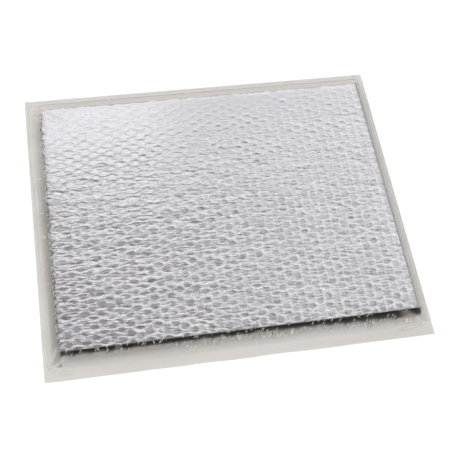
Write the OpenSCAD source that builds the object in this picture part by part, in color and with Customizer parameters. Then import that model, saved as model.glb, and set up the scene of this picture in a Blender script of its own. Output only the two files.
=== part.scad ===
// Folding foil-and-bubble sleeping pad, packed in its clear film bag.
//
// The pad is one strip of laminate, creased into four panels that stack like an
// accordion. It lies in a flat film bag that is welded along the back and open at
// the front lip. X runs along the width of the folded pad, Y from the lip to the
// weld, Z up. The origin is in the middle of the bag's footprint, on the surface
// that it lies on.

/* [Pad] */
// Width of the folded pad over its creases
pad_w = 415; // [280:1:520]
// Depth of the folded pad, which is the width of the strip
pad_d = 327; // [220:1:420]
// Thickness of one panel, foil to foil
panel_t = 3.5; // [2.5:0.1:6]
// Thickness of each foil face
foil_t = 0.2; // [0.1:0.05:0.4]
// Air between two stacked panels
panel_gap = 0.3; // [0.2:0.05:1]
// Gap that a crease leaves between two panels that lie flat
crease_gap = 0.5; // [0.3:0.05:0.8]

/* [Bag] */
// Thickness of the bag's film
film_t = 0.2; // [0.1:0.05:0.4]
// Film beyond the pad on the left
margin_left = 20; // [12:1:60]
// Film beyond the pad on the right
margin_right = 13; // [10:1:60]
// Film beyond the pad at the front, lip included
margin_front = 29; // [20:1:80]
// Film beyond the pad at the back, weld included
margin_back = 26; // [20:1:80]
// Width of the flat lip at the front
lip_w = 13; // [8:1:16]
// Width of the welded band at the back
weld_w = 12; // [6:1:16]

/* [Clearances] */
// Room under and over the stack of panels
stack_clear = 0.3; // [0.2:0.05:1]
// Room around the stack, under the bag's flat top
skirt = 1; // [0.5:0.1:3]

/* [Hidden] */
$fn = 48;

panel_count = 4;

// The bag's footprint, centred on the origin
bag_w = margin_left + pad_w + margin_right;
bag_d = margin_front + pad_d + margin_back;
bag_left = -bag_w / 2;
bag_right = bag_w / 2;
bag_front = -bag_d / 2;
bag_back = bag_d / 2;

// The folded pad's edges
pad_left = bag_left + margin_left;
pad_right = bag_right - margin_right;
pad_front = bag_front + margin_front;
pad_back = bag_back - margin_back;

// Stacking
panel_pitch = panel_t + panel_gap;
stack_z = film_t + stack_clear;
stack_top = stack_z + (panel_count - 1) * panel_pitch + panel_t;
bag_h = stack_top + stack_clear + film_t;

// A crease wraps round the axis that two panels turn on, which lies half a crease
// gap beyond their ends
crease_out = panel_gap / 2 + panel_t;
crease_in = panel_gap / 2;
crease_reach = crease_out + crease_gap / 2;

// Corners of the film where it leaves the flat top, and where it comes down to
// the bottom film, each as [left, right, front, back, height]
top_edge = [pad_left - skirt, pad_right + skirt, pad_front - skirt, pad_back + skirt, bag_h];
low_edge = [bag_left, bag_right, bag_front + lip_w, bag_back - weld_w, 2 * film_t];

function corner(edge, right, back) =
    [edge[right ? 1 : 0], edge[back ? 3 : 2], edge[4]];

function panel_z(n) = stack_z + (n - 1) * panel_pitch;

// Creases are on the right above every odd panel, and on the left above every even one
function creased_right(n) = n % 2 == 1 ? n < panel_count : true;
function creased_left(n) = n % 2 == 1 ? n > 1 : n < panel_count;

// Panels with a crease stop short of it, and cut edges run out to the full width
function panel_x0(n) = pad_left + (creased_left(n) ? crease_reach : 0);
function panel_x1(n) = pad_right - (creased_right(n) ? crease_reach : 0);

// Film pulled straight between four corners of its upper face, going round
module film_sheet(a, b, c, d) {
    down = [0, 0, -film_t];
    polyhedron(
        points = [a, b, c, d, a + down, b + down, c + down, d + down],
        faces = [[3, 2, 1, 0], [4, 5, 6, 7], [0, 1, 5, 4], [1, 2, 6, 5], [2, 3, 7, 6], [3, 0, 4, 7]]
    );
}

// Flat rectangle of the given thickness, from its low corner to its high corner
module plate(x0, x1, y0, y1, z, t) {
    translate([x0, y0, z]) cube([x1 - x0, y1 - y0, t]);
}

module bag_bottom_film() {
    color("gainsboro", 0.5) plate(bag_left, bag_right, bag_front, bag_back, 0, film_t);
}

module bag_top_film() {
    color("whitesmoke", 0.35)
        plate(top_edge[0], top_edge[1], top_edge[2], top_edge[3], bag_h - film_t, film_t);
}

module bag_left_film() {
    color("gainsboro", 0.5) film_sheet(
        corner(low_edge, false, false), corner(top_edge, false, false),
        corner(top_edge, false, true), corner(low_edge, false, true)
    );
}

module bag_right_film() {
    color("gainsboro", 0.5) film_sheet(
        corner(top_edge, true, false), corner(low_edge, true, false),
        corner(low_edge, true, true), corner(top_edge, true, true)
    );
}

module bag_front_film() {
    color("gainsboro", 0.5) film_sheet(
        corner(low_edge, false, false), corner(low_edge, true, false),
        corner(top_edge, true, false), corner(top_edge, false, false)
    );
}

module bag_back_film() {
    color("gainsboro", 0.5) film_sheet(
        corner(top_edge, false, true), corner(top_edge, true, true),
        corner(low_edge, true, true), corner(low_edge, false, true)
    );
}

// Where the upper film is welded to the lower one
module bag_back_weld() {
    color("white", 0.7) plate(bag_left, bag_right, low_edge[3], bag_back, film_t, film_t);
}

// The upper film's flat edge at the bag's mouth
module bag_front_lip() {
    color("white", 0.7) plate(bag_left, bag_right, bag_front, low_edge[2], film_t, film_t);
}

module lower_foil(n) {
    color("silver") plate(panel_x0(n), panel_x1(n), pad_front, pad_back, panel_z(n), foil_t);
}

module bubble_core(n) {
    color("lightsteelblue")
        plate(panel_x0(n), panel_x1(n), pad_front, pad_back, panel_z(n) + foil_t, panel_t - 2 * foil_t);
}

module upper_foil(n) {
    color("silver")
        plate(panel_x0(n), panel_x1(n), pad_front, pad_back, panel_z(n) + panel_t - foil_t, foil_t);
}

// Outline of a crease seen from its end, opening towards -X, with the axis at the origin
module crease_outline() {
    intersection() {
        difference() {
            circle(crease_out);
            circle(crease_in);
        }
        translate([0, -crease_out]) square([crease_out, 2 * crease_out]);
    }
    for (side = [-1, 1])
        translate([-crease_gap / 2, side * (crease_in + crease_out) / 2 - panel_t / 2])
            square([crease_gap / 2, panel_t]);
}

// Laminate bent round from the end of panel n to the end of the panel above it
module fold(n) {
    on_right = n % 2 == 1;
    x = on_right ? panel_x1(n) + crease_gap / 2 : panel_x0(n) - crease_gap / 2;
    color("lightgray")
        translate([x, pad_back, panel_z(n) + panel_t + panel_gap / 2])
            rotate([90, 0, 0])
                linear_extrude(pad_d)
                    mirror([on_right ? 0 : 1, 0]) crease_outline();
}

bag_bottom_film();
bag_top_film();
bag_left_film();
bag_right_film();
bag_back_film();
bag_front_film();
bag_back_weld();
bag_front_lip();
for (n = [1 : panel_count]) {
    lower_foil(n);
    bubble_core(n);
    upper_foil(n);
}
for (n = [1 : panel_count - 1]) {
    fold(n);
}
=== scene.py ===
# %% [markdown]
# # A foil bubble sleeping pad in its film bag
# The pad is a strip of air-bubble film with bright metallised film on both sides. It is
# creased into four panels that stack like an accordion, and it is sold in a flat bag of
# clear film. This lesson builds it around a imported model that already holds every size,
# body and joint, so each piece only has to look right where that model puts it.

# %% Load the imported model
import math

import bpy
import numpy as np
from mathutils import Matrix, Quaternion, Vector


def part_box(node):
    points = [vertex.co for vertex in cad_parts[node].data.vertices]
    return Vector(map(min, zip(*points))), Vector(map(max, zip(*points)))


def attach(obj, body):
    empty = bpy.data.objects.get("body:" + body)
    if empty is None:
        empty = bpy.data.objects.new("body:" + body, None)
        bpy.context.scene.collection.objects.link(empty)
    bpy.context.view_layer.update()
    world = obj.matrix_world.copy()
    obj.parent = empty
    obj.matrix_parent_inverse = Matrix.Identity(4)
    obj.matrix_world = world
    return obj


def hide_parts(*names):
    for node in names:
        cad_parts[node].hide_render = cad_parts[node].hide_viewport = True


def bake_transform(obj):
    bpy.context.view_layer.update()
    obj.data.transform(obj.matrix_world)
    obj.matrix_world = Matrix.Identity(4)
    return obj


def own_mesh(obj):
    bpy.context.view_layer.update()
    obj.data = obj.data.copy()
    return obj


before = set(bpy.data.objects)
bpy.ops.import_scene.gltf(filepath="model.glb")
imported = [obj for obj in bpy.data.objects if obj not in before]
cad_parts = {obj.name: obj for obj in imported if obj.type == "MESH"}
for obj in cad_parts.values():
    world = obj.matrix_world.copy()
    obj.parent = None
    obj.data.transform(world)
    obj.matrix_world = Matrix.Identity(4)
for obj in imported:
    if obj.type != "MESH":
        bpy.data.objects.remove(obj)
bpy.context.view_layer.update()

MM = 0.001

# %% [markdown]
# ## Reading sizes from the model
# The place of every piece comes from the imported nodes' boxes, so the looks follow the
# design if it changes. A panel's three layers give its flat faces, and the bag's films
# give its footprint, the lip at its mouth and the weld along its back.

# %% Panel and bag sizes
PANELS = (1, 2, 3, 4)


class Panel:
    """The box of one panel, from the lower foil to the upper one."""

    def __init__(self, n):
        self.n = n
        self.body = f"panel_{n}"
        low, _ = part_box(f"panel_{n}_lower_foil")
        _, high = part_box(f"panel_{n}_upper_foil")
        self.x0, self.y0, self.z0 = low
        self.x1, self.y1, self.z1 = high


panels = {n: Panel(n) for n in PANELS}
bag_low, bag_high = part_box("bag_bottom_film")
film_top = bag_high.z
lip_low, lip_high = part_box("bag_front_lip")
weld_low, weld_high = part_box("bag_back_weld")
pad_left, pad_right = panels[4].x0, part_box("fold_3_4")[1].x
pad_front, pad_back = panels[4].y0, panels[4].y1
print("panel size, mm:", [round((b - a) / MM, 1) for a, b in (
    (pad_left, pad_right), (pad_front, pad_back), (panels[4].z0, panels[4].z1))])

# %% [markdown]
# ## Camera
# The pad is seen from above its front edge, turned a little to the left, with a long
# lens. A camera that aims at a point of the floor is easy to keep true: its heading,
# its height above the horizon, its distance and its roll are four separate numbers.

# %% Camera
CAMERA_HEADING = math.radians(17.12)
CAMERA_HEIGHT = math.radians(60.6)
CAMERA_ROLL = math.radians(8.98)
CAMERA_DISTANCE = 1.125
CAMERA_LENS = 72.9
aim = Vector((0.008, -0.024, 0))
backwards = Vector((
    -math.sin(CAMERA_HEADING) * math.cos(CAMERA_HEIGHT),
    -math.cos(CAMERA_HEADING) * math.cos(CAMERA_HEIGHT),
    math.sin(CAMERA_HEIGHT)))
camera = bpy.data.objects.new("camera", bpy.data.cameras.new("camera"))
camera.data.lens = CAMERA_LENS
camera.data.sensor_width = 36
camera.location = aim + backwards * CAMERA_DISTANCE
camera.rotation_mode = "QUATERNION"
camera.rotation_quaternion = (
    (-backwards).to_track_quat("-Z", "Y") @ Quaternion((0, 0, 1), CAMERA_ROLL))
bpy.context.scene.collection.objects.link(camera)
bpy.context.scene.camera = camera
print("camera stands at", [round(c, 3) for c in camera.location])

# %% [markdown]
# ## Meshes from arrays
# Film and foil have no straight edge that a modifier could start from, so each piece is
# worked out as arrays of points and faces. One helper turns arrays into an object, one
# gives a mesh values that its material can read, and the others start a material or
# add a node with its values set.

# %% Mesh and material helpers
def node_material(name):
    """A new material, its node tree and its Principled shader."""
    material = bpy.data.materials.new(name)
    material.use_nodes = True
    tree = material.node_tree
    tree.nodes.clear()
    output = tree.nodes.new("ShaderNodeOutputMaterial")
    shader = tree.nodes.new("ShaderNodeBsdfPrincipled")
    tree.links.new(shader.outputs[0], output.inputs["Surface"])
    return material, tree, shader


def add_math(tree, operation, second=None, third=None, kind="ShaderNodeMath"):
    """A node for one sum, with its second and third values set if they are given."""
    node = tree.nodes.new(kind)
    node.operation = operation
    for place, value in ((1, second), (2, third)):
        if value is not None:
            node.inputs[place].default_value = value
    return node


def add_mesh(name, points, faces, materials, face_material=None, smooth=True):
    """A mesh object from arrays of points and of faces."""
    mesh = bpy.data.meshes.new(name)
    mesh.from_pydata([tuple(p) for p in points], [], faces)
    for material in materials:
        mesh.materials.append(material)
    if face_material is not None:
        mesh.polygons.foreach_set("material_index", face_material)
    mesh.polygons.foreach_set("use_smooth", [smooth] * len(mesh.polygons))
    mesh.update()
    thing = bpy.data.objects.new(name, mesh)
    bpy.context.scene.collection.objects.link(thing)
    return thing


def carry(thing, name, values):
    """Give each point of a mesh a value of that name, for its material to read."""
    layer = thing.data.attributes.new(name, "FLOAT", "POINT")
    layer.data.foreach_set("value", values)


def grid_faces(shape):
    """The numbers of a grid's points, and a four-sided face for each of its cells."""
    number = np.arange(shape[0] * shape[1]).reshape(shape)
    corners = [number[:-1, :-1], number[:-1, 1:], number[1:, 1:], number[1:, :-1]]
    quads = np.stack(corners, -1).reshape(-1, 4)
    return number, [tuple(quad) for quad in quads.tolist()]


print("a grid of 3 by 4 points has", len(grid_faces((3, 4))[1]), "faces")

# %% [markdown]
# ## Studio
# Foil shows the room around it more than its own colour. A light tent has bright walls
# and is dim overhead, where its opening is: a flat patch of foil then shows grey, and
# every wrinkle that leans far enough catches a wall. Lamps could do that too, but a
# world whose brightness depends only on the direction has no edges that the foil would
# show. Two soft boxes behind the pad make the brighter reflection at its back, and a
# scrim overhead lights only what is dull.

# %% Floor
FLOOR_HALF = 4.0
FLOOR_DROP = 0.2 * MM


def make_floor():
    material, _, shader = node_material("pale_floor")
    shader.inputs["Base Color"].default_value = (0.9, 0.9, 0.9, 1)
    shader.inputs["Roughness"].default_value = 0.9
    shader.inputs["Specular IOR Level"].default_value = 0.1
    shader.inputs["Emission Color"].default_value = (1, 1, 1, 1)
    shader.inputs["Emission Strength"].default_value = 0.10
    corners = [(-FLOOR_HALF, -FLOOR_HALF, 0), (FLOOR_HALF, -FLOOR_HALF, 0),
               (FLOOR_HALF, FLOOR_HALF, 0), (-FLOOR_HALF, FLOOR_HALF, 0)]
    floor = add_mesh("floor", corners, [(0, 1, 2, 3)], [material], smooth=False)
    floor.location.z = -FLOOR_DROP


make_floor()
print("floor of", 2 * FLOOR_HALF, "m")

# %% Light
view = bpy.context.scene.view_settings
view.view_transform = "Standard"
view.look = "None"

# Brightness of the tent by direction, from the horizon, 0, to the opening, 1. The
# opening isn't straight overhead but a little to the left.
TENT_OPENING = (-0.19, 0, 0.982)
HORIZON_GREY = 0.42
OPENING_GREY = 0.10
TENT_STEPS = (
    (0.30, 0.55), (0.45, 1.25), (0.58, 1.08), (0.72, 0.78),
    (0.83, 0.66), (0.88, 0.44), (0.95, 0.25))


def grey(level):
    return (level, level, level, 1)


def make_world():
    world = bpy.data.worlds.new("light_tent")
    bpy.context.scene.world = world
    world.use_nodes = True
    tree = world.node_tree
    background = tree.nodes["Background"]
    where = tree.nodes.new("ShaderNodeTexCoord")
    upward = add_math(tree, "DOT_PRODUCT", TENT_OPENING, kind="ShaderNodeVectorMath")
    ramp = tree.nodes.new("ShaderNodeValToRGB")
    tree.links.new(where.outputs["Generated"], upward.inputs[0])
    tree.links.new(upward.outputs["Value"], ramp.inputs[0])
    tree.links.new(ramp.outputs[0], background.inputs["Color"])
    stops = ramp.color_ramp.elements
    stops[0].color = grey(HORIZON_GREY)
    stops[1].color = grey(OPENING_GREY)
    for place, level in TENT_STEPS:
        stops.new(place).color = grey(level)


def add_softbox(name, place, width, depth, brightness, mirrored=True):
    """A level panel of light that faces the floor."""
    light = bpy.data.lights.new(name, "AREA")
    light.shape = "RECTANGLE"
    light.size, light.size_y = width, depth
    light.energy = brightness * math.pi * width * depth
    thing = bpy.data.objects.new(name, light)
    thing.location = place
    thing.visible_glossy = mirrored
    bpy.context.scene.collection.objects.link(thing)


make_world()
add_softbox("overhead_scrim", (0, 0, 2.2), width=3, depth=3, brightness=1.2, mirrored=False)
add_softbox("back_left_softbox", (-0.20, 1.225, 1.5), width=0.6, depth=0.55, brightness=0.26)
add_softbox("back_left_scrim", (-0.16, 1.19, 1.51), width=0.68, depth=0.61, brightness=0.14)
print("light tent with", len(TENT_STEPS) + 2, "brightness steps, a scrim and two soft boxes")

# %% [markdown]
# ## Noise with a grain
# Wrinkled film isn't rough in every direction alike: it was pulled along the strip, so
# its wrinkles run that way. White noise blurred more along one axis than along the
# other gives that grain, and blurring it by Fourier transform takes a few
# milliseconds. A fixed seed for each use makes every run the same.

# %% Grained noise on a grid
def grained_noise(shape, spacing, length, seed):
    """Noise with unit spread on a grid of shape (ny, nx), with correlation lengths (x, y)."""
    white = np.random.default_rng(seed).standard_normal(shape)
    fy = np.fft.fftfreq(shape[0], spacing[1])[:, None]
    fx = np.fft.fftfreq(shape[1], spacing[0])[None, :]
    blur = np.exp(-2 * math.pi**2 * ((fx * length[0]) ** 2 + (fy * length[1]) ** 2))
    field = np.fft.ifft2(np.fft.fft2(white) * blur).real
    return field / field.std()


def ease(low, high, value):
    """0 at low, 1 at high, a smooth step between, and level beyond them."""
    t = np.clip((value - low) / (high - low), 0, 1)
    return t * t * (3 - 2 * t)


patch = grained_noise((60, 60), (MM, MM), (8 * MM, 2 * MM), 0)
print("mean change over 1 mm along the grain:", round(np.abs(np.diff(patch, axis=1)).mean(), 2))
print("mean change over 1 mm across the grain:", round(np.abs(np.diff(patch, axis=0)).mean(), 2))

# %% [markdown]
# ## The bubble lattice
# Bubble film comes off a drum with its bubbles in a close hexagonal lattice. To give a
# face its relief, each of its points only has to know which bubble is nearest. Trying
# three columns finds that for a whole grid at once, which is far quicker than modelling
# a thousand bubbles one by one.

# %% Nearest bubble
BUBBLE_PITCH = 11.5 * MM
BUBBLE_COLUMN = BUBBLE_PITCH * math.sqrt(3) / 2
BUBBLE_TOP = 0.385 * BUBBLE_PITCH


def chance(a, b, salt):
    """A fixed random number from 0 to 1 for each pair of whole numbers."""
    value = np.sin(a * 12.9898 + b * 78.233 + salt * 37.719) * 43758.5453
    return value - np.floor(value)


def nearest_bubble(u, v):
    """Offsets from the nearest bubble's middle, and its column and row."""
    best = None
    middle = np.round(u / BUBBLE_COLUMN)
    for step in (-1, 0, 1):
        column = middle + step
        shift = np.mod(column, 2) * BUBBLE_PITCH / 2
        row = np.round((v - shift) / BUBBLE_PITCH)
        du = u - column * BUBBLE_COLUMN
        dv = v - shift - row * BUBBLE_PITCH
        found = (du * du + dv * dv, du, dv, column, row)
        if best is None:
            best = found
        else:
            closer = found[0] < best[0]
            best = tuple(np.where(closer, f, b) for f, b in zip(found, best))
    return best[1:]


print("bubble columns are", round(BUBBLE_COLUMN / MM, 2), "mm apart")

# %% [markdown]
# ## Relief of the foil
# The foil is bonded to the bubbles' flat tops and bridges the gaps between them, where
# it sags and wrinkles. Folding and packing have worked it hard near the open mouth and
# hardly at all at the back, where it's still smooth. So every part of the relief is
# made first, and then scaled by how worked that part of the panel is.

# %% Height of bubbles and wrinkles
LEVEL_SPREAD = 0.16 * MM
TOP_LEAN = 0.05
SAG_DEPTH = 0.26 * MM
DEEPEST = 1.2 * MM


def look_up(field, spacing, u, v):
    """Values of a grid field at other places of the same grid, by straight interpolation."""
    ny, nx = field.shape
    i = np.clip(u / spacing[0], 0, nx - 1.001)
    j = np.clip(v / spacing[1], 0, ny - 1.001)
    i0, j0 = i.astype(int), j.astype(int)
    fi, fj = i - i0, j - j0
    low = field[j0, i0] * (1 - fi) + field[j0, i0 + 1] * fi
    high = field[j0 + 1, i0] * (1 - fi) + field[j0 + 1, i0 + 1] * fi
    return low * (1 - fj) + high * fj


def wrinkles(u, v, du, dv, spacing, seed):
    """Fine and long wrinkles, which bend round each bubble instead of crossing it."""
    from_middle = np.hypot(du, dv)
    held = 0.70 * ease(0.5 * BUBBLE_PITCH, 0.15 * BUBBLE_PITCH, from_middle)
    bent_v = v - dv * held
    fine = grained_noise(u.shape, spacing, (4.5 * MM, 0.70 * MM), seed + 2)
    long = grained_noise(u.shape, spacing, (16 * MM, 1.5 * MM), seed + 3)
    fine = look_up(fine, spacing, u - u.min(), bent_v - v.min())
    long = look_up(long, spacing, u - u.min(), bent_v - v.min())
    return 0.30 * (0.8 - np.abs(fine)) + 0.12 * fine + 0.16 * long


def foil_height(u, v, spacing, seed, depth=1.0):
    """Height over the panel's flat face, and how much each point belongs to a bubble's top."""
    du, dv, column, row = nearest_bubble(u, v)
    across, along = u / u.max(), v / v.max()

    # Each bubble's top has its own size, level and lean
    size = BUBBLE_TOP * (0.88 + 0.2 * chance(column, row, 4))
    top = 1 - ease(0.75, 1.12, np.hypot(0.90 * du, 1.05 * dv) / size)
    level = (chance(column, row, 1) - 0.5) * LEVEL_SPREAD
    lean = TOP_LEAN * ((chance(column, row, 2) - 0.5) * du + (chance(column, row, 3) - 0.5) * dv)
    lean += (0.030 - 0.055 * ease(0.30, 0.75, along)) * dv

    # Between the rows the foil sags, and what isn't bonded wrinkles
    slack = 0.10 + 0.90 * ease(0.98, 0.38, along - 0.10 * across)
    between = ease(0.12 * BUBBLE_PITCH, 0.42 * BUBBLE_PITCH, np.abs(dv))
    sag = SAG_DEPTH * (1 - top) * between * slack**1.5
    crumpled = 0.14 + 0.60 * chance(column, row, 5) ** 2
    loose = (crumpled * top + 1 - top) * slack
    height = top * (level + lean) - sag
    height += loose * wrinkles(u, v, du, dv, spacing, seed) * MM

    # A short fold lies between each bubble and the next one along the strip's width
    worked = 0.12 + 0.88 * ease(1.03, 0.68, along + 0.22 * (1 - across) - 0.10)
    web = np.exp(-(((np.abs(dv) - BUBBLE_PITCH / 2) / (0.11 * BUBBLE_PITCH)) ** 2))
    web = web * np.exp(-((du / (0.40 * BUBBLE_PITCH)) ** 2))
    fold = grained_noise(u.shape, spacing, (6 * MM, 4 * MM), seed + 1)
    height += web * fold * (0.12 / (0.35 + worked) + 0.13) * MM

    # The whole panel is a little wavy
    broad = grained_noise(u.shape, spacing, (38 * MM, 24 * MM), seed + 4)
    height = 1.15 * depth * worked * height + (0.02 + 0.12 * worked) * MM * broad
    shown_top = 1 - (1 - top) * worked
    return np.where(height < 0, DEEPEST * np.tanh(height / DEEPEST), height), shown_top


print("foil sags up to", round(SAG_DEPTH / MM, 2), "mm between bubbles")

# %% [markdown]
# ## Shared effect: crinkle
# Foil has creases far finer than the mesh can hold. They are the same on every foil
# face, so they are one node group: noise stretched along the strip, sharpened into
# creases, and mixed with a rounder noise. It puts out a height for a Bump node and a
# mask for the dull tops of the creases.

# %% Crinkle node group
def start_group(name, inputs, outputs):
    """A node group with value sockets of those names, and its first and last nodes."""
    group = bpy.data.node_groups.new(name, "ShaderNodeTree")
    for direction, names in (("INPUT", inputs), ("OUTPUT", outputs)):
        for socket in names:
            group.interface.new_socket(socket, in_out=direction, socket_type="NodeSocketFloat")
    return group, group.nodes.new("NodeGroupInput"), group.nodes.new("NodeGroupOutput")


def make_crinkle():
    group, given, result = start_group("crinkle", ("Scale", "Stretch"), ("Height", "Mask"))
    nodes, links = group.nodes, group.links
    where = nodes.new("ShaderNodeTexCoord")
    stretch = nodes.new("ShaderNodeCombineXYZ")
    stretch.inputs[1].default_value = stretch.inputs[2].default_value = 1
    scaled = add_math(group, "MULTIPLY", kind="ShaderNodeVectorMath")
    creases = nodes.new("ShaderNodeTexNoise")
    creases.inputs["Detail"].default_value = 3
    creases.inputs["Roughness"].default_value = 0.6
    creases.inputs["Distortion"].default_value = 0.4
    centred = add_math(group, "SUBTRACT", 0.5)
    folded = add_math(group, "ABSOLUTE")
    round_noise = nodes.new("ShaderNodeTexNoise")
    round_noise.inputs["Detail"].default_value = 2
    added = add_math(group, "MULTIPLY_ADD", 2.2)
    links.new(given.outputs["Stretch"], stretch.inputs[0])
    links.new(where.outputs["Object"], scaled.inputs[0])
    links.new(stretch.outputs[0], scaled.inputs[1])
    links.new(scaled.outputs[0], creases.inputs["Vector"])
    links.new(scaled.outputs[0], round_noise.inputs["Vector"])
    links.new(given.outputs["Scale"], creases.inputs["Scale"])
    links.new(given.outputs["Scale"], round_noise.inputs["Scale"])
    links.new(creases.outputs["Fac"], centred.inputs[0])
    links.new(centred.outputs[0], folded.inputs[0])
    links.new(folded.outputs[0], added.inputs[0])
    links.new(round_noise.outputs["Fac"], added.inputs[2])
    links.new(added.outputs[0], result.inputs["Height"])
    links.new(folded.outputs[0], result.inputs["Mask"])
    return group


crinkle = make_crinkle()
print("crinkle group with", len(crinkle.nodes), "nodes")

# %% [markdown]
# ## Foil
# Metallised film is a mirror with a blue-grey cast. Where it is bonded to a bubble it
# is a little duller and calmer than where it bridges a gap, so the mesh carries that as
# a value named bubble. Foil that has been creased loses its shine along every fine
# fold, so there the crinkle's own mask sets the colour and the roughness. The creased
# foil is also darker all over than the flat foil, painted shade on the round creases,
# and darker still along the fine folds, partly wear and partly painted shade. An image
# texture could do the same, but only at the size it was painted for.

# %% Foil materials
WEAR_AND_SHADE_MASK = 0.2


def add_crinkle(tree, shader, scale, stretch, depth):
    """Place the crinkle group with its own values, and give back its node and its bump."""
    creased = tree.nodes.new("ShaderNodeGroup")
    creased.node_tree = crinkle
    creased.inputs["Scale"].default_value = scale
    creased.inputs["Stretch"].default_value = stretch
    relief = tree.nodes.new("ShaderNodeBump")
    relief.inputs["Strength"].default_value = 1
    relief.inputs["Distance"].default_value = depth
    tree.links.new(relief.outputs[0], shader.inputs["Normal"])
    return creased, relief


def add_range(tree, source, low, high, source_high=1.0):
    """A node that turns 0 to source_high into low to high."""
    node = tree.nodes.new("ShaderNodeMapRange")
    node.inputs["From Max"].default_value = source_high
    node.inputs["To Min"].default_value = low
    node.inputs["To Max"].default_value = high
    tree.links.new(source, node.inputs["Value"])
    return node.outputs[0]


def add_mix(tree, factor, first, second):
    """A node that mixes two colours."""
    node = tree.nodes.new("ShaderNodeMix")
    node.data_type = "RGBA"
    node.inputs["A"].default_value = (*first, 1)
    node.inputs["B"].default_value = (*second, 1)
    tree.links.new(factor, node.inputs["Factor"])
    return node.outputs["Result"]


def make_foil():
    material, tree, shader = node_material("foil")
    links = tree.links
    shader.inputs["Metallic"].default_value = 1
    bubble = tree.nodes.new("ShaderNodeAttribute")
    bubble.attribute_name = "bubble"
    on_top = bubble.outputs["Fac"]
    tint = add_mix(tree, on_top, (0.93, 0.926, 0.968), (0.872, 0.868, 0.904))
    links.new(tint, shader.inputs["Base Color"])
    links.new(add_range(tree, on_top, 0.06, 0.11), shader.inputs["Roughness"])
    creased, relief = add_crinkle(tree, shader, scale=430, stretch=0.22, depth=0.44 * MM)
    calmed = add_math(tree, "MULTIPLY")
    links.new(creased.outputs["Height"], calmed.inputs[0])
    links.new(add_range(tree, on_top, 1.05, 0.24), calmed.inputs[1])
    links.new(calmed.outputs[0], relief.inputs["Height"])
    return material


def make_creased_foil():
    material, tree, shader = node_material("creased_foil")
    links = tree.links
    shader.inputs["Metallic"].default_value = 1
    creased, relief = add_crinkle(tree, shader, scale=420, stretch=1.5, depth=0.50 * MM)
    links.new(creased.outputs["Height"], relief.inputs["Height"])
    worn_and_shaded = add_range(tree, creased.outputs["Mask"], 1.0, 0.0, WEAR_AND_SHADE_MASK)
    # Both colours are painted shade, darker than the flat foil; the fine folds darker still are wear
    # and painted shade
    tint = add_mix(tree, worn_and_shaded, (0.70, 0.70, 0.73), (0.50, 0.50, 0.53))
    links.new(tint, shader.inputs["Base Color"])
    polish = add_range(tree, creased.outputs["Mask"], 0.42, 0.22, WEAR_AND_SHADE_MASK)
    links.new(polish, shader.inputs["Roughness"])
    return material


foil = make_foil()
creased_foil = make_creased_foil()
print("foil nodes:", len(foil.node_tree.nodes), "and", len(creased_foil.node_tree.nodes))

# %% [markdown]
# ## Cut edge of the bubble film
# Between the foils the cut bubbles stand open, and their little chambers of clear film
# lie in shade. Modelling each chamber wouldn't show at this size, so the layer is a
# near-black material of painted shade that varies from chamber to chamber.

# %% Bubble film material
def make_bubble_film():
    material, tree, shader = node_material("bubble_film")
    nodes, links = tree.nodes, tree.links
    noise = nodes.new("ShaderNodeTexNoise")
    noise.inputs["Scale"].default_value = 300
    ramp = nodes.new("ShaderNodeValToRGB")
    # Near black to dark grey: painted shade of the open chambers, not the clear film's own colour
    ramp.color_ramp.elements[0].color = (0.005, 0.005, 0.005, 1)
    ramp.color_ramp.elements[1].color = (0.07, 0.07, 0.065, 1)
    links.new(noise.outputs["Fac"], ramp.inputs[0])
    links.new(ramp.outputs[0], shader.inputs["Base Color"])
    shader.inputs["Roughness"].default_value = 0.3
    return material


bubble_film = make_bubble_film()
print("bubble film nodes:", len(bubble_film.node_tree.nodes))

# %% [markdown]
# ## Closed shells
# A foil face could be a sheet without thickness, but then its cut edge would have
# nothing to show from the side. Each face is a closed shell instead: the grid, a short
# skirt round it, and a back. The back only joins the skirt's lower edge, so it costs
# one long face for each column of the grid.

# %% Shell builder
def grid_shell(name, x, y, z, back_z, up, bubble):
    """A grid of foil with a skirt and a back that follows only the grid's border."""
    ny, nx = x.shape
    number, faces = grid_faces(x.shape)
    foil_count = len(faces)
    border = np.concatenate([number[0, :-1], number[:-1, -1], number[-1, :0:-1], number[:0:-1, 0]])
    under = nx * ny + np.arange(len(border))
    skirt = np.stack([border, under, np.roll(under, -1), np.roll(border, -1)], -1)
    faces += [tuple(f) for f in skirt.tolist()]
    south, east = under[:nx], under[nx - 1:nx + ny - 1]
    north = under[nx + ny - 2:2 * nx + ny - 2][::-1]
    west = np.append(under[2 * nx + ny - 3:], under[0])
    faces.append((*west[::-1].tolist(), north[1], south[1]))
    faces += [(south[k], north[k], north[k + 1], south[k + 1]) for k in range(1, nx - 2)]
    faces.append((south[-2], north[-2], *east[::-1].tolist()))
    if not up:
        faces = [f[::-1] for f in faces]
    # The skirt and the back take the near-black bubble film, painted shade at the cut edge
    side = np.zeros(len(faces), np.int32)
    side[foil_count:] = 1
    points = np.stack([x, y, z], -1).reshape(-1, 3)
    low = np.stack([x, y, back_z], -1).reshape(-1, 3)[border]
    thing = add_mesh(name, np.concatenate([points, low]), faces, [foil, bubble_film], side)
    carry(thing, "bubble", np.append(bubble.ravel(), np.zeros(len(low))).astype(np.float32))
    thing.data.set_sharp_from_angle(angle=math.radians(75))
    return thing


print("shells are made of", foil.name, "and", bubble_film.name)

# %% [markdown]
# ## Panel faces
# Near a cut edge the bubbles are open and crushed, so the foil rolls down and its edge
# frays. At a crease the inner faces are pressed thin, and the top panel springs up a
# little. All of that is a change to the height of a grid that is finer across the
# wrinkles than along them, so it stays one surface with no seams.

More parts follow.
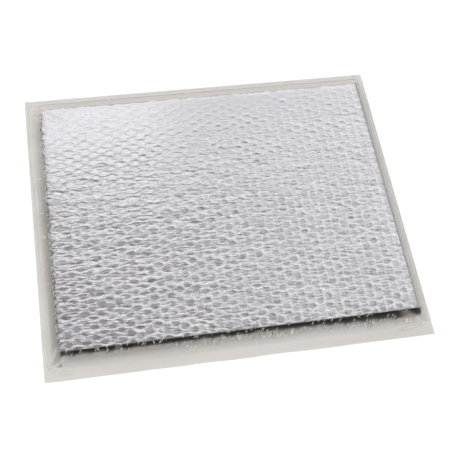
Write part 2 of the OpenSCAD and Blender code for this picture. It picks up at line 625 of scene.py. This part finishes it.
# %% Face builder
CUT_DROP = 0.45 * MM
SKIRT_DEPTH = 1.60 * MM
EDGE_RUN = 3 * MM
PRESSED_RUN = 38 * MM
PRESSED_DEPTH = 1.0 * MM
LOWEST = -1.5 * MM
SPRING_RUN = 90 * MM
SPRING_HEIGHT = 1.9 * MM


def corner_lift(x, y):
    """How far the top panel springs up near its crease, most at the front corner."""
    rise = ease(-SPRING_RUN, 0, x - pad_right)
    across = 1 - 0.8 * (y - pad_front) / (pad_back - pad_front)
    return SPRING_HEIGHT * rise * across


def panel_face(name, panel, up, step, seed, depth=1.0, lift=None):
    """One foil face of a panel, seen from above if up, and from below if not."""
    nx = round((panel.x1 - panel.x0) / (step[0] * MM))
    ny = round((panel.y1 - panel.y0) / (step[1] * MM))
    xs, ys = np.linspace(panel.x0, panel.x1, nx + 1), np.linspace(panel.y0, panel.y1, ny + 1)
    x, y = np.meshgrid(xs, ys)
    spacing = (xs[1] - xs[0], ys[1] - ys[0])
    height, bubble = foil_height(x - pad_left, y - pad_front, spacing, seed, depth)

    # The first and the last panel have a cut edge on the left, where the others have a crease
    left_cut = panel.n in (PANELS[0], PANELS[-1])
    to_side = np.minimum(y - panel.y0, panel.y1 - y)
    to_cut = np.minimum(to_side, x - panel.x0) if left_cut else to_side
    to_crease = panel.x1 - x if left_cut else np.minimum(panel.x1 - x, x - panel.x0)
    height = height * ease(0, EDGE_RUN, to_crease)

    # A cut edge rolls down, frays and wanders
    ragged = np.exp(-to_cut / (1.6 * MM))
    fray = grained_noise(x.shape, spacing, (1.3 * MM, 1.0 * MM), seed + 7)
    height -= CUT_DROP * np.exp(-to_cut / (2.5 * MM))
    height += 0.22 * MM * ragged * fray
    push = (0.5 if panel.n == PANELS[-1] else 0.25) * MM
    pushed = push * ragged * grained_noise(x.shape, spacing, (2 * MM, 2 * MM), seed + 8)
    out_y = np.where(y - panel.y0 < panel.y1 - y, -1.0, 1.0) * ease(EDGE_RUN, 0, to_side)
    y = y + pushed * out_y
    if left_cut:
        x = x - pushed * ease(EDGE_RUN, 0, x - panel.x0)

    # Faces inside the stack are pressed thin beside their crease, and the lowest face by the floor
    inner = panel.n != (PANELS[-1] if up else PANELS[0])
    if inner:
        crease_side = panel.x1 - x if (panel.n % 2 == 1) == up else x - panel.x0
        pressed = 1 - ease(0, PRESSED_RUN, crease_side)
        height = height * (1 - 0.7 * pressed) - PRESSED_DEPTH * pressed
    elif not up:
        height = 0.3 * height - 0.15 * MM
    height = np.maximum(height, LOWEST)

    face_z = panel.z1 if up else panel.z0
    sign = 1 if up else -1
    raise_by = lift(x, y) if lift else 0
    z = face_z + sign * height + raise_by
    back_z = face_z - sign * SKIRT_DEPTH + 0 * x + raise_by
    return grid_shell(name, x, y, z, back_z, up, bubble)


print("the top panel springs up by", round(float(corner_lift(pad_right, pad_front)) / MM, 1), "mm")

# %% [markdown]
# ## Bubble layer
# Only the rim of the bubble film shows between the foils, so a frame is enough. Its
# outline follows the cut bubbles, with a scallop for every bubble that the knife went
# through.

# %% Bubble layer builder
RIM_WIDTH = 14 * MM
SCALLOP = 0.9 * MM


def rim_outline(panel, inset, scallop):
    """Points round the panel, set back from its edge, with a scallop for each bubble."""
    low, high = (panel.x0, panel.y0), (panel.x1, panel.y1)
    corners = [low, (panel.x1, panel.y0), high, (panel.x0, panel.y1)]
    points = []
    for (ax, ay), (bx, by) in zip(corners, corners[1:] + corners[:1]):
        length = math.hypot(bx - ax, by - ay)
        tx, ty = (bx - ax) / length, (by - ay) / length
        count = round(length / (BUBBLE_PITCH / 6))
        for k in range(count):
            s = inset + (length - 2 * inset) * k / count
            depth = inset + scallop * abs(math.sin(math.pi * s / BUBBLE_PITCH))
            points.append((ax + tx * s - ty * depth, ay + ty * s + tx * depth))
    return np.array(points)


def bubble_layer(name, panel, lift=None):
    """A frame of bubble film, set back under the top panel's foil and level with the others'."""
    inset = 1.2 * MM if panel.n == PANELS[-1] else -0.2 * MM
    rim, hole = rim_outline(panel, inset, SCALLOP), rim_outline(panel, RIM_WIDTH, 0)
    middle, half = (panel.z0 + panel.z1) / 2, 0.6 * MM
    rings = []
    for outline, level in ((rim, -half), (rim, half), (hole, half), (hole, -half)):
        x, y = outline.T
        raised = lift(x, y) if lift else 0
        rings.append(np.stack([x, y, middle + level + raised + 0 * x], -1))
    n, faces = len(rim), []
    for ring in range(4):
        for k in range(n):
            a, b = ring * n + k, ring * n + (k + 1) % n
            c, d = (ring + 1) % 4 * n + (k + 1) % n, (ring + 1) % 4 * n + k
            faces.append((a, b, c, d))
    # The frame takes the near-black bubble film, painted shade between the foils
    return add_mesh(name, np.concatenate(rings), faces, [bubble_film], smooth=False)


print("points round the top panel's rim:", len(rim_outline(panels[PANELS[-1]], 0, SCALLOP)))

# %% [markdown]
# ## Creases
# Where the strip turns back on itself the laminate is a half ring, pushed out by each
# bubble and pinched between them. A curve with a bevel would give the ring but not its
# dents, so it is one closed shell swept along the crease.

# %% Crease builder
CREASE_INNER_RADIUS = 1.55 * MM
CREASE_STEP = 1.1 * MM
CREASE_TURNS = 20


def crease(name, lower, upper, seed, lift=None):
    """The half ring that joins two stacked panels."""
    node_low, node_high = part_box(f"fold_{lower.n}_{upper.n}")
    on_right = lower.n % 2 == 1
    way = 1 if on_right else -1
    inner_x = node_low.x if on_right else node_high.x
    middle_z = (node_low.z + node_high.z) / 2
    outer_radius = (node_high.z - node_low.z) / 2
    lead = node_high.x - node_low.x - outer_radius
    ny = round((node_high.y - node_low.y) / CREASE_STEP)
    ys = np.linspace(node_low.y, node_high.y, ny + 1)
    angles = np.linspace(-math.pi / 2, math.pi / 2, CREASE_TURNS + 1)
    y, angle = np.meshgrid(ys, angles, indexing="ij")
    spacing = (angles[1] - angles[0]) * outer_radius, ys[1] - ys[0]
    pushed = 0.32 * MM * np.cos(2 * math.pi * (y - pad_front) / BUBBLE_PITCH)
    pushed = pushed + 0.26 * MM * grained_noise(y.shape, spacing, (2.5 * MM, 1.2 * MM), seed)
    outer = outer_radius + pushed * np.cos(angle) ** 0.7
    dents = grained_noise(y.shape, spacing, (3 * MM, 2 * MM), seed + 1)
    inner = CREASE_INNER_RADIUS + 0.2 * MM * dents
    loops = []
    for radius, turn in ((outer, angle), (inner[:, ::-1], angle[:, ::-1])):
        raised = lift(inner_x + 0 * y, y) * ease(0, 1, np.sin(turn)) if lift else 0
        loops.append(np.stack([
            inner_x + way * (lead + radius * np.cos(turn)),
            y,
            middle_z + radius * np.sin(turn) + raised], -1))
    ring = np.concatenate(loops, 1)
    count = ring.shape[1]
    number = np.arange(ring.shape[0] * count).reshape(ring.shape[0], count)
    after = np.roll(number, -1, axis=1)
    quads = np.stack([number[:-1], number[1:], after[1:], after[:-1]], -1).reshape(-1, 4)
    faces = [tuple(f) for f in quads.tolist()]
    faces += [tuple(number[0].tolist()), tuple(number[-1, ::-1].tolist())]
    if not on_right:
        faces = [f[::-1] for f in faces]
    thing = add_mesh(name, ring.reshape(-1, 3), faces, [creased_foil])
    thing.data.set_sharp_from_angle(angle=math.radians(70))
    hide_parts(f"fold_{lower.n}_{upper.n}")
    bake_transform(thing)
    return thing


print("points round a crease:", 2 * (CREASE_TURNS + 1))

# %% [markdown]
# ## Slivers
# A hot wire or a dull knife leaves slivers of foil along the cut. They are thin
# three-sided splinters that lie along the edge or stick out of it, a few of them far.
# Hair particles could do this, but every piece here is a plain mesh that can ride on a
# panel, so each splinter is four points of one mesh, placed by a seeded draw.

# %% Sliver builder
FRONT_SHARE = 0.68
LONG_SHARE = 0.18


def slivers(name, panel, count, seed, reach=1.0, first=0.0):
    """Splinters round the cut edges, from a share of the front edge on."""
    rng = np.random.default_rng(seed)
    points, faces = [], []
    for _ in range(count):
        at_front = rng.random() < FRONT_SHARE
        along = rng.random()
        if at_front:
            along = first + (1 - first) * along
            root = np.array([pad_left + along * (panel.x1 - pad_left), panel.y0 + 0.8 * MM, 0])
            out = np.array([0, -1, 0])
        else:
            root = np.array([pad_left + 0.8 * MM, panel.y0 + along * (panel.y1 - panel.y0), 0])
            out = np.array([-1, 0, 0])
        lifted = float(corner_lift(root[0], root[1])) if panel.n == 4 else 0
        root[2] = panel.z1 - 0.4 * MM + lifted
        side = np.array([-out[1], out[0], 0])
        long = rng.random() < LONG_SHARE
        length = (rng.uniform(4, 8) if long else rng.uniform(1.2, 3.2)) * reach * MM
        turn = rng.uniform(-1.2, 1.2) / reach
        way = out * math.cos(turn) + side * math.sin(turn)
        way = way + np.array([0, 0, rng.uniform(-0.1, 0.35)])
        way /= np.linalg.norm(way)
        wide = np.cross(way, [0, 0, 1])
        wide *= rng.uniform(0.35, 0.8) * MM / np.linalg.norm(wide)
        tilt = np.array([0, 0, rng.uniform(-0.5, 0.5) * MM])
        tip = root + way * length
        tip[2] = min(tip[2], panel.z1 + 0.7 * MM + lifted)
        base = len(points)
        points += [root + wide + tilt, root - wide - tilt, root - np.array([0, 0, 0.3 * MM]), tip]
        faces += [(base, base + 1, base + 3), (base + 1, base + 2, base + 3),
                  (base + 2, base, base + 3), (base, base + 2, base + 1)]
    thing = add_mesh(name, points, faces, [foil], smooth=False)
    carry(thing, "bubble", [0.0] * len(points))
    return thing


print("one sliver in", round(1 / LONG_SHARE), "is a long one")

# %% [markdown]
# ## The pad
# Each panel is two foil faces with the bubble layer between them. They ride on the
# panel's own body. The face that is looked at most has the finest grid.

# %% Build the pad
for n, panel in panels.items():
    lift = corner_lift if n == 4 else None
    top_step = (2.0, 0.69) if n == 4 else (2.4, 1.6)
    face_up = panel_face(f"panel_{n}_top_face", panel, True, top_step, 100 * n, lift=lift)
    face_down = panel_face(
        f"panel_{n}_under_face", panel, False, (2.4, 1.6), 100 * n + 50,
        depth=2.2 if n == 4 else 1.0, lift=lift)
    middle = bubble_layer(f"panel_{n}_bubble_layer", panel, lift)
    for thing, node in ((face_up, "upper_foil"), (face_down, "lower_foil"), (middle, "bubble_core")):
        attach(thing, panel.body)
        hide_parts(f"panel_{n}_{node}")
        # The top panel turns over onto the floor as the pad opens, so its relief is squashed
        if n == 4:
            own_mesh(thing)
    print(panel.body, "faces:", len(face_up.data.polygons), len(face_down.data.polygons))
trim = slivers("panel_4_cut_slivers", panels[4], count=110, seed=77)
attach(trim, "panel_4")
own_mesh(trim)
fringe = slivers("panel_1_cut_slivers", panels[1], count=150, seed=78, reach=2.6, first=0.30)
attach(fringe, "panel_1")
for n in PANELS[:-1]:
    lift = corner_lift if n == 3 else None
    crease(f"crease_{n}_{n + 1}", panels[n], panels[n + 1], 900 + 10 * n, lift)
print("slivers on the top and lowest panels:",
      len(trim.data.polygons) // 4, len(fringe.data.polygons) // 4)

# %% [markdown]
# ## Film
# The bag's film is clear with a slight haze. Transmission would bend the light, which
# film this thin hardly does, so the Principled shader's alpha lets it through instead.
# Film that stands up in a ridge catches the light, and film that hangs beside the dark
# edge of the pad lies in its shade. Both are painted into the film, so each film carries
# a value named tone: below zero it is a painted highlight, whiter, above zero painted
# shade, darker, and both make the film denser. Blown film also has faint streaks along
# the way it was drawn. Both films have them, so they are a node group.

# %% Streaks node group
def make_streaks():
    """A factor near 1 that differs from streak to streak."""
    group, given, result = start_group("draw_streaks", ("Scale", "Amount"), ("Veil",))
    nodes, links = group.nodes, group.links
    where = nodes.new("ShaderNodeTexCoord")
    along = add_math(group, "MULTIPLY", (0.12, 1, 1), kind="ShaderNodeVectorMath")
    noise = nodes.new("ShaderNodeTexNoise")
    noise.inputs["Detail"].default_value = 3
    centred = add_math(group, "SUBTRACT", 0.5)
    veil = add_math(group, "MULTIPLY_ADD", third=1)
    links.new(where.outputs["Object"], along.inputs[0])
    links.new(along.outputs[0], noise.inputs["Vector"])
    links.new(given.outputs["Scale"], noise.inputs["Scale"])
    links.new(noise.outputs["Fac"], centred.inputs[0])
    links.new(centred.outputs[0], veil.inputs[0])
    links.new(given.outputs["Amount"], veil.inputs[1])
    links.new(veil.outputs[0], result.inputs["Veil"])
    return group


draw_streaks = make_streaks()
print("streaks group with", len(draw_streaks.nodes), "nodes")

# %% Film materials
def add_veil(tree, scale, amount):
    """Place the streaks group with its own values, and give back a factor for the alpha."""
    streaks = tree.nodes.new("ShaderNodeGroup")
    streaks.node_tree = draw_streaks
    streaks.inputs["Scale"].default_value = scale
    streaks.inputs["Amount"].default_value = amount
    factor = add_math(tree, "MULTIPLY")
    tree.links.new(streaks.outputs["Veil"], factor.inputs[0])
    return factor


def make_clear_film():
    material, tree, shader = node_material("clear_film")
    nodes, links = tree.nodes, tree.links
    shader.inputs["Roughness"].default_value = 0.16
    shader.inputs["IOR"].default_value = 1.48
    shader.inputs["Specular IOR Level"].default_value = 0.3
    tone = nodes.new("ShaderNodeAttribute")
    tone.attribute_name = "tone"
    place = nodes.new("ShaderNodeMapRange")
    place.inputs["From Min"].default_value = -1
    # The ramp runs from a painted highlight, white, through the film's own colour to painted shade,
    # near black
    tint = nodes.new("ShaderNodeValToRGB")
    stops = tint.color_ramp.elements
    stops[0].color, stops[1].color = (0.96, 0.96, 0.95, 1), (0.010, 0.009, 0.006, 1)
    stops.new(0.5).color = (0.54, 0.50, 0.455, 1)
    amount = add_math(tree, "ABSOLUTE")
    veil = add_veil(tree, scale=60, amount=0.35)
    links.new(tone.outputs["Fac"], place.inputs["Value"])
    links.new(place.outputs[0], tint.inputs[0])
    links.new(tint.outputs[0], shader.inputs["Base Color"])
    links.new(tone.outputs["Fac"], amount.inputs[0])
    links.new(add_range(tree, amount.outputs[0], 0.10, 0.97), veil.inputs[1])
    links.new(veil.outputs[0], shader.inputs["Alpha"])
    return material


def make_lower_film():
    material, tree, shader = node_material("lower_film")
    shader.inputs["Base Color"].default_value = (0.46, 0.425, 0.385, 1)
    shader.inputs["Roughness"].default_value = 0.3
    shader.inputs["IOR"].default_value = 1.48
    shader.inputs["Specular IOR Level"].default_value = 0.3
    veil = add_veil(tree, scale=40, amount=0.5)
    veil.inputs[1].default_value = 0.36
    tree.links.new(veil.outputs[0], shader.inputs["Alpha"])
    return material


clear_film = make_clear_film()
lower_film = make_lower_film()
print("film materials:", clear_film.name, "and", lower_film.name)

# %% [markdown]
# ## Upper film
# The upper film lies on the pad, falls over its edges and runs out flat to the bag's
# edge. A cloth simulation would settle it a little differently each time the pad is
# changed, so its height is a formula. It needs only the distance outside the pad's
# outline, with a different run on each side, so the corners round themselves. Ridges
# are a height and a painted highlight together: one along each side fold, and fans of
# puckers at the front corners and the back left one, where the spare film has nowhere
# to go.

# %% Film ridges
def outside(x, y):
    """Distances beyond the pad on the left, right, front and back, negative inside."""
    return pad_left - x, x - pad_right, pad_front - y, y - pad_back


def fan(x, y, middle, towards, spread, reach, count, salt):
    """Ridges that spread from one point, from 0 to 1, fading out at the fan's reach."""
    dx, dy = x - middle[0], y - middle[1]
    angle = np.arctan2(dy, dx) - math.atan2(towards[1], towards[0])
    angle = (angle + math.pi) % (2 * math.pi) - math.pi
    far = np.hypot(dx, dy)
    bend = 0.5 * np.sin(far / (11 * MM) + salt)
    wave = 0.5 + 0.5 * np.cos(count * math.pi * angle / spread + salt + bend)
    inside = 1 - ease(0.6, 1.0, np.abs(angle) / spread)
    return wave**4 * inside * ease(0, 0.25, far / reach) * (1 - ease(0.5, 1, far / reach))


def film_ridges(x, y):
    """Height in millimetres, which also sets how strong the film's painted highlight is."""
    down = (pad_back - y) / (pad_back - pad_front)
    from_left, from_right = x - bag_low.x, bag_high.x - x
    fold_place = 3.0 * MM + 4.5 * MM * ease(0.2, 1.0, down) + 0.8 * MM * np.sin(y / (23 * MM))
    left = np.exp(-(((from_left - fold_place) / (1.3 * MM)) ** 2))
    left = left * (0.35 + 0.65 * ease(0.3, 0.9, down))
    right = np.exp(-(((from_right - 3.0 * MM) / (1.2 * MM)) ** 2)) * 0.4
    before_lip = 1 - ease(1.02, 1.06, down)
    ridges = (0.9 * left + 0.7 * right) * before_lip
    lip_left = (bag_low.x + 2 * MM, lip_high.y + 2 * MM)
    lip_right = (bag_high.x - 2 * MM, lip_high.y + 1 * MM)
    weld_left = (bag_low.x + 3 * MM, weld_low.y)
    ridges += 1.2 * fan(
        x, y, lip_left, towards=(1, 0.45), spread=1.1, reach=34 * MM, count=3.5, salt=0.4)
    ridges += 1.0 * fan(
        x, y, lip_right, towards=(-1, 0.30), spread=0.7, reach=46 * MM, count=3, salt=1.7)
    ridges += 0.5 * fan(
        x, y, weld_left, towards=(1, -0.5), spread=0.9, reach=60 * MM, count=4, salt=2.6)
    return ridges


print("film hangs", [round(d / MM) for d in (pad_left - bag_low.x, bag_high.x - pad_right)],
      "mm beyond the pad on the left and right")

# %% Film tone
# Spacing of the upper film's grid in millimetres, which is also the size of a speck
FILM_STEP = 1.4
PAINTED_GLINT_TONE = -0.6
PAINTED_SHADE_TONE = 0.95


def film_tone(x, y):
    """Painted shade beside the pad, most at the front, painted highlight on the ridges, and painted
    glints and shade specks at the cuts.
    """
    left, right, front, back = outside(x, y)
    down = np.clip((pad_back - y) / (pad_back - pad_front), 0, 1)
    beside = (left < 0) & (right < 0)
    over = (x - pad_left) / (pad_right - pad_left)

    # A dark gap of uneven depth between the pad's front edge and the film is painted shade on the
    # film
    gap = (4.6 + 2.4 * ease(0.55, 1.0, over)) * MM
    uneven = np.sin(x / (3.1 * MM)) + np.sin(x / (5.3 * MM) + 1) * np.sin(x / (11 * MM))
    gap = gap + 0.5 * MM * uneven
    deep = np.exp(-((np.maximum(front, 0) / gap) ** 9))
    at_front = np.where(beside, np.maximum(deep, 0.34 * np.exp(-front / (8 * MM))), 0)
    at_left = (0.26 + 0.42 * ease(0.1, 0.5, down)) * np.clip(1 - left / (15 * MM), 0, 1)
    at_right = 0.28 * np.clip(1 - right / (26 * MM), 0, 1)
    at_back = 0.26 * np.clip(1 - back / (14 * MM), 0, 1)
    painted_shade = np.where(front > 0, at_front, 0)
    painted_shade = np.maximum(painted_shade, np.where((left > 0) & (front < 12 * MM), at_left, 0))
    painted_shade = np.maximum(painted_shade, np.where((right > 0) & (front < 12 * MM), at_right, 0))
    painted_shade = np.maximum(painted_shade, np.where((back > 0) & (left < 8 * MM), at_back, 0))

    # Film that lies on film, at the lip and the weld, is a little milky
    joined = 0.05 * ease(-0.5 * MM, 0.5 * MM, lip_high.y - y)
    joined = joined + 0.10 * ease(-0.5 * MM, 0.5 * MM, y - weld_low.y)
    # Ridges pull the tone down towards a painted highlight
    tone = np.clip(painted_shade - 0.55 * film_ridges(x, y) - joined, -0.5, 1)

    # Slivers of foil under the film show as painted glints, and the left cut edge as painted shade
    # specks
    speck = chance(np.round(x / (FILM_STEP * MM)), np.round(y / (FILM_STEP * MM)), 9)
    trimmed = beside & (front > gap) & (front < gap + 4.5 * MM) & (over > 0.3)
    cut_side = (left > 0) & (left < 2.2 * MM) & (front < 0) & (back < 0)
    bright = (trimmed & (speck > 0.78)) | (beside & (front > 0) & (front < gap) & (speck > 0.95))
    bright |= cut_side & (speck > 0.72)
    dark = cut_side & (speck < 0.30)
    return np.where(bright, PAINTED_GLINT_TONE, np.where(dark, PAINTED_SHADE_TONE, tone))


tones = [float(film_tone(np.array([0.0]), np.array([pad_front - away * MM]))[0]) for away in (2, 20)]
print("tone of the film 2 mm and 20 mm before the pad:", [round(tone, 2) for tone in tones])

# %% Film height
ROOF_GAP = 1.60 * MM
RIDGE_HEIGHT = 1.1 * MM
FALL_RUN = {"left": 10 * MM, "right": 9 * MM, "front": 13 * MM, "back": 12 * MM}


def pad_surface(x, y):
    """Height of the top of the pad under the film, without its bubbles."""
    inside_x, inside_y = np.clip(x, pad_left, pad_right), np.clip(y, pad_front, pad_back)
    return panels[4].z1 + corner_lift(inside_x, inside_y)


def upper_film_height(x, y, spacing, seed):
    """Height over the floor: a roof over the pad, a fall round it, and the lower film beyond."""
    left, right, front, back = outside(x, y)
    sideways = np.maximum(left / FALL_RUN["left"], right / FALL_RUN["right"])
    lengthways = np.maximum(front / FALL_RUN["front"], back / FALL_RUN["back"])
    away = np.hypot(np.maximum(sideways, 0), np.maximum(lengthways, 0))
    fall = ease(-0.12, 1.0, away) ** 0.85
    ripple = grained_noise(x.shape, spacing, (16 * MM, 16 * MM), seed)
    small = grained_noise(x.shape, spacing, (5 * MM, 5 * MM), seed + 1)
    roof = pad_surface(x, y) + ROOF_GAP + 0.08 * MM * ripple
    ground = film_top + (0.55 + 0.18 * np.tanh(ripple) + 0.05 * np.tanh(small)) * MM
    height = roof * (1 - fall) + ground * fall
    return height + film_ridges(x, y) * RIDGE_HEIGHT * ease(0.2, 0.8, away)


def lower_film_height(x, y, spacing, seed):
    """Height over the floor of the film that the pad lies on."""
    return 0.12 * MM + 0.04 * MM * grained_noise(x.shape, spacing, (12 * MM, 12 * MM), seed)


print("upper film lies", round(ROOF_GAP / MM, 1), "mm over the flat face of the top panel")

# %% [markdown]
# ## The bag
# The bag is a lower sheet, and an upper sheet with a flat lip at the front and a welded
# band along the back. The last three are separate pieces, as they are in the packed
# model, and share one height function, so they meet at nearly the same height. The
# front edges of the lip and the lower sheet were cut by hand and run a little unevenly.

# %% Build the bag
flat_width = bag_high.x - bag_low.x


def film_sheet(name, y0, y1, step, height_of, material, seed, wavy=0):
    """Film right across the bag, from y0 to y1, with a grid step and an unevenness in mm."""
    nx, ny = round(flat_width / (step * MM)), round((y1 - y0) / (step * MM))
    xs, ys = np.linspace(bag_low.x, bag_high.x, nx + 1), np.linspace(y0, y1, ny + 1)
    x, y = np.meshgrid(xs, ys)
    spacing = (xs[1] - xs[0], ys[1] - ys[0])
    cut = grained_noise((1, nx + 1), spacing, (14 * MM, 1), seed + 5)
    y = y + wavy * (1 + np.tanh(cut)) * MM * (1 - (y - y0) / (y1 - y0))
    z = height_of(x, y, spacing, seed)
    thing = add_mesh(name, np.stack([x, y, z], -1).reshape(-1, 3), grid_faces(x.shape)[1], [material])
    carry(thing, "tone", film_tone(x, y).ravel().astype(np.float32))
    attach(thing, "bag")
    return thing


upper = film_sheet(
    "bag_upper_film", lip_high.y, weld_low.y, FILM_STEP, upper_film_height, clear_film, seed=31)
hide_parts("bag_top_film", "bag_left_film", "bag_right_film", "bag_back_film", "bag_front_film")
lower = film_sheet(
    "bag_lower_film", bag_low.y, bag_high.y, 4, lower_film_height, lower_film, seed=32, wavy=0.4)
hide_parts("bag_bottom_film")
lip = film_sheet(
    "bag_mouth_lip", lip_low.y, lip_high.y, 2, upper_film_height, clear_film, seed=31, wavy=0.5)
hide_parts("bag_front_lip")
weld = film_sheet(
    "bag_weld_band", weld_low.y, weld_high.y, 2, upper_film_height, clear_film, seed=31)
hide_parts("bag_back_weld")
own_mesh(upper)
for film in (upper, lower, lip, weld):
    print(film.name, "area, square metres:", round(sum(f.area for f in film.data.polygons), 5))

# %% [markdown]
# ## Weld stitches
# A row of little heat marks holds the two films together along the back. An array
# modifier could repeat one mark, but a loop writes the same beads as plain points, in
# the frame's own places. Each one is a flattened bead, milkier than the weld round it.

# %% Weld marks
MARK_PITCH = 3.4 * MM
MARK_HALF_LENGTH = 1.1 * MM
MARK_HALF_WIDTH = 0.7 * MM
MARK_FOOT, MARK_TOP = 0.55 * MM, 1.7 * MM
MARK_MARGIN = 6 * MM
MARK_INSET = 5.5 * MM
MARK_SIDES = 8


def weld_marks():
    """Beads of melted film along the weld, and how many of them there are."""
    points, faces = [], []
    turns = [2 * math.pi * i / MARK_SIDES for i in range(MARK_SIDES)]
    count = round((flat_width - 2 * MARK_MARGIN) / MARK_PITCH)
    for k in range(count):
        cx = bag_low.x + MARK_MARGIN + k * MARK_PITCH
        cy = weld_low.y + MARK_INSET
        base, over = len(points), len(points) + MARK_SIDES
        for size, z in ((1, MARK_FOOT), (0.7, MARK_TOP)):
            points += [(cx + size * MARK_HALF_LENGTH * math.cos(t),
                        cy + size * MARK_HALF_WIDTH * math.sin(t), z) for t in turns]
        for i in range(MARK_SIDES):
            after = (i + 1) % MARK_SIDES
            faces.append((base + i, base + after, over + after, over + i))
        faces.append(tuple(over + i for i in range(MARK_SIDES)))
        faces.append(tuple(over - 1 - i for i in range(MARK_SIDES)))
    marks = add_mesh("bag_weld_marks", points, faces, [clear_film])
    carry(marks, "tone", [-1.0] * len(points))
    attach(marks, "bag")
    return count


print("weld marks:", weld_marks())
